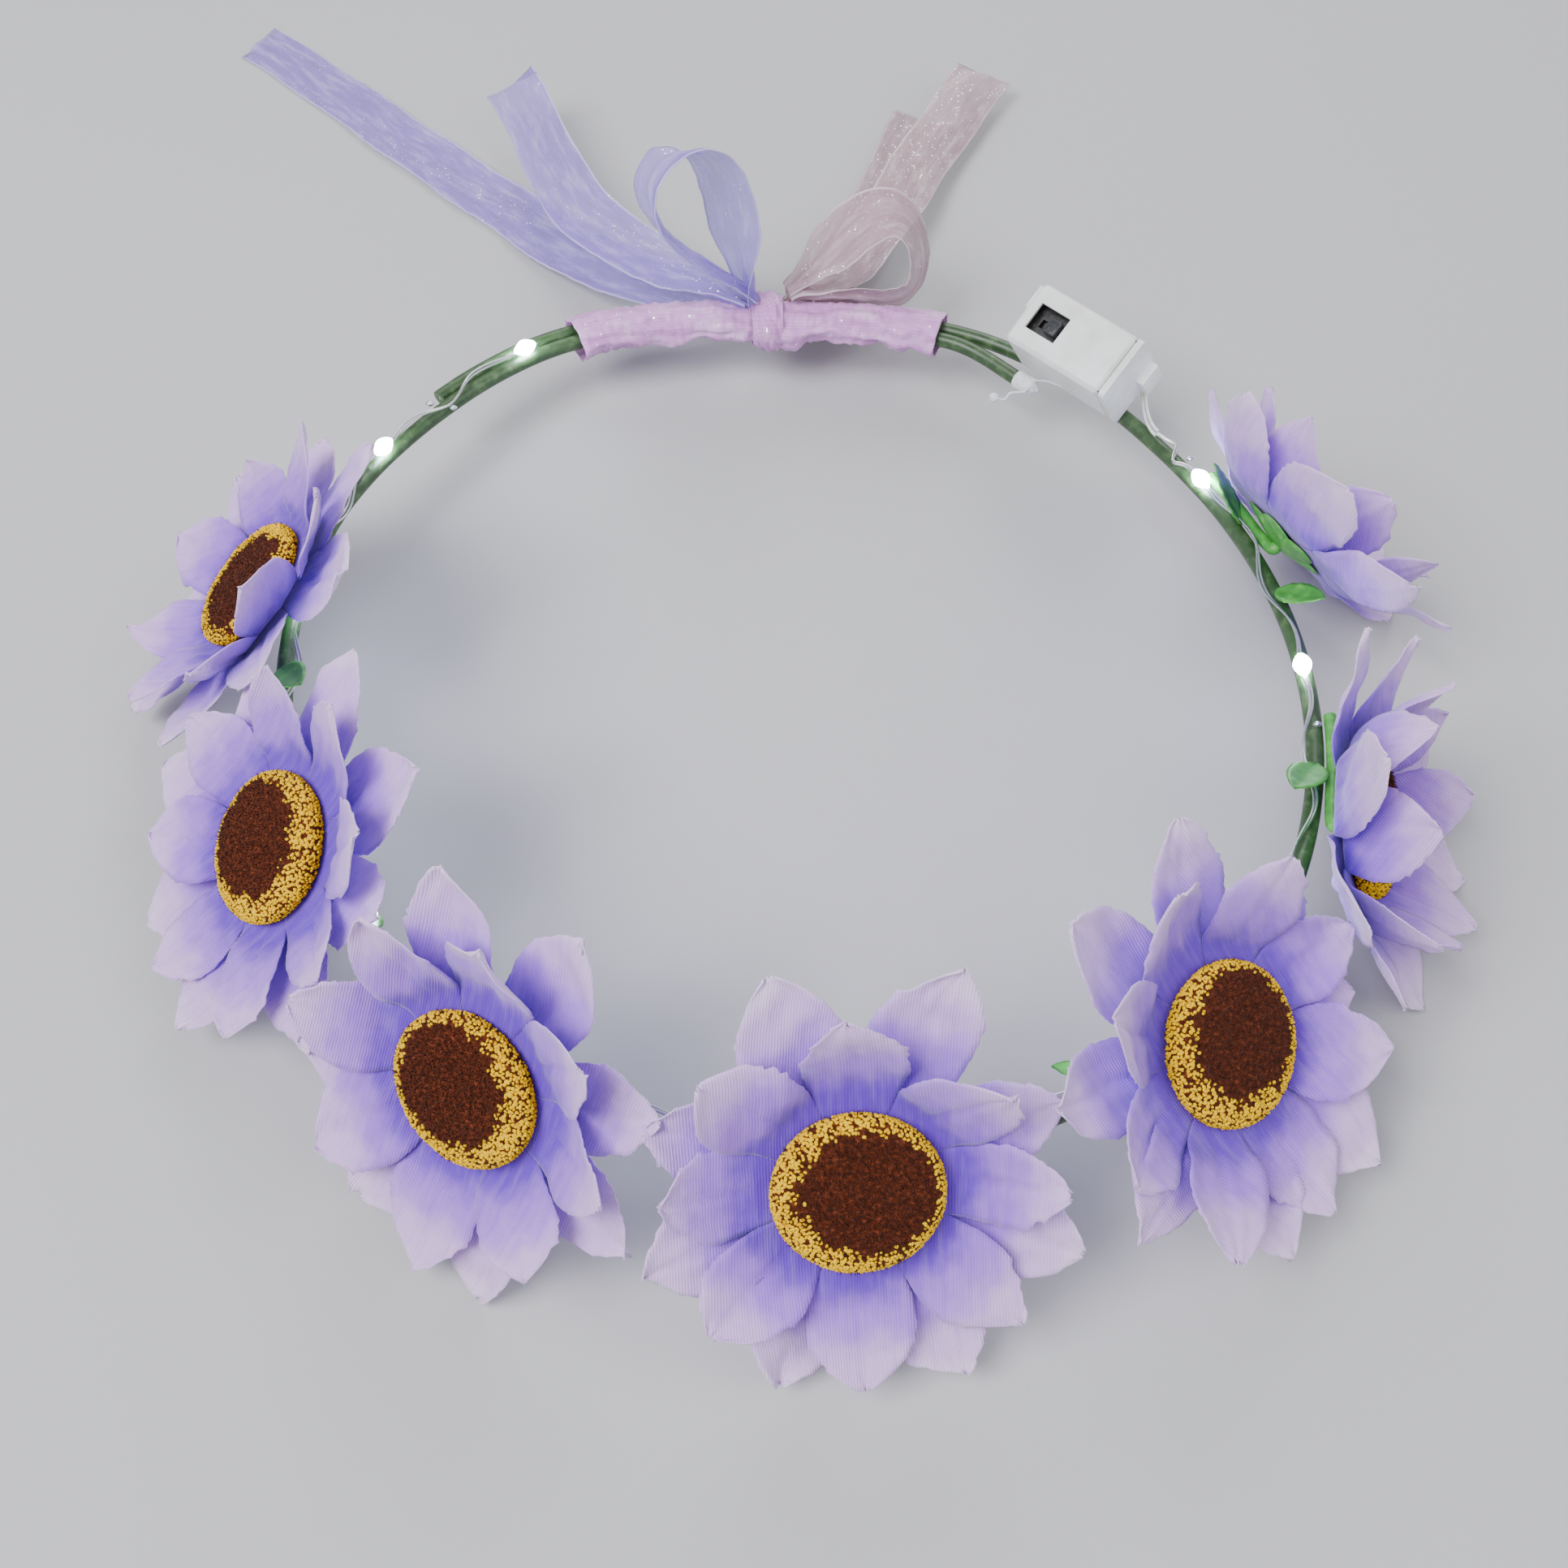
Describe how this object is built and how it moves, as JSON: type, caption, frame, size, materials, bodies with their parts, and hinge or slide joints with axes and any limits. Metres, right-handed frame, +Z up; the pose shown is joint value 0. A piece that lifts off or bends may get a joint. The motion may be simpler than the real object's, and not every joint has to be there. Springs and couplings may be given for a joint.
{
  "type": "flower crown",
  "caption": "Wire hoop headband with fabric daisies, a string of small lamps with its battery box and switch, and an organza ribbon bow.",
  "frame": {"origin": "middle of the hoop, on the surface that the crown stands on", "axes": "+Z up through the head opening, -Y the front of the crown, +Y towards the bow at the back, +X the side with the battery box"},
  "size_m": [0.2643, 0.344, 0.0556],
  "materials": {
    "petal": "ribbed synthetic fabric, violet-blue fading to lilac at the tips",
    "disc": "dark brown flock with a ring of yellow granules",
    "calyx": "bright green moulded plastic, satin",
    "hoop": "dark olive green plastic sleeve, satin",
    "steel": "plain steel",
    "wire": "silvery lacquered wire",
    "lamp": "clear resin droplet over a small white lamp",
    "case": "white moulded plastic",
    "switch": "black moulded plastic",
    "contact": "nickel-plated spring strip",
    "glue": "cloudy hot-melt glue",
    "ribbon": "sheer organza with glitter and bright woven edges"
  },
  "bodies": {
    "root": {"battery_case": "case", "bow_knot": "ribbon", "bow_loop_left": "ribbon", "bow_loop_right": "ribbon", "box_glue": "glue", "button_cell_1": "steel", "button_cell_2": "steel", "button_cell_3": "steel", "contact_leaf": "contact", "contact_plate": "contact", "flower_1_calyx": "calyx", "flower_1_disc": "disc", "flower_1_petals_inner": "petal", "flower_1_petals_outer": "petal", "flower_2_calyx": "calyx", "flower_2_disc": "disc", "flower_2_petals_inner": "petal", "flower_2_petals_outer": "petal", "flower_3_calyx": "calyx", "flower_3_disc": "disc", "flower_3_petals_inner": "petal", "flower_3_petals_outer": "petal", "flower_4_calyx": "calyx", "flower_4_disc": "disc", "flower_4_petals_inner": "petal", "flower_4_petals_outer": "petal", "flower_5_calyx": "calyx", "flower_5_disc": "disc", "flower_5_petals_inner": "petal", "flower_5_petals_outer": "petal", "flower_6_calyx": "calyx", "flower_6_disc": "disc", "flower_6_petals_inner": "petal", "flower_6_petals_outer": "petal", "flower_7_calyx": "calyx", "flower_7_disc": "disc", "flower_7_petals_inner": "petal", "flower_7_petals_outer": "petal", "hoop_core_wire": "steel", "hoop_tube": "hoop", "lamp_01": "lamp", "lamp_02": "lamp", "lamp_03": "lamp", "lamp_04": "lamp", "lamp_05": "lamp", "lamp_06": "lamp", "lamp_07": "lamp", "lamp_08": "lamp", "lamp_09": "lamp", "lamp_10": "lamp", "lamp_11": "lamp", "lamp_wire": "wire", "ribbon_sleeve": "ribbon", "switch_body": "switch", "tail_left_long": "ribbon", "tail_left_short": "ribbon", "tail_right_long": "ribbon", "tail_right_short": "ribbon"},
    "switch_knob": {"switch_knob": "switch"},
    "battery_door": {"battery_door": "case"}
  },
  "joints": [
    {"name": "switch_slide", "type": "slide", "parent": "root", "child": "switch_knob", "axis": [-0.6965, 0.7166, -0.0376], "range_m": [0, 0.0026]},
    {"name": "battery_door_slide", "type": "slide", "parent": "root", "child": "battery_door", "axis": [0.6965, -0.7166, 0.0376], "range_m": [0, 0.004]}
  ]
}
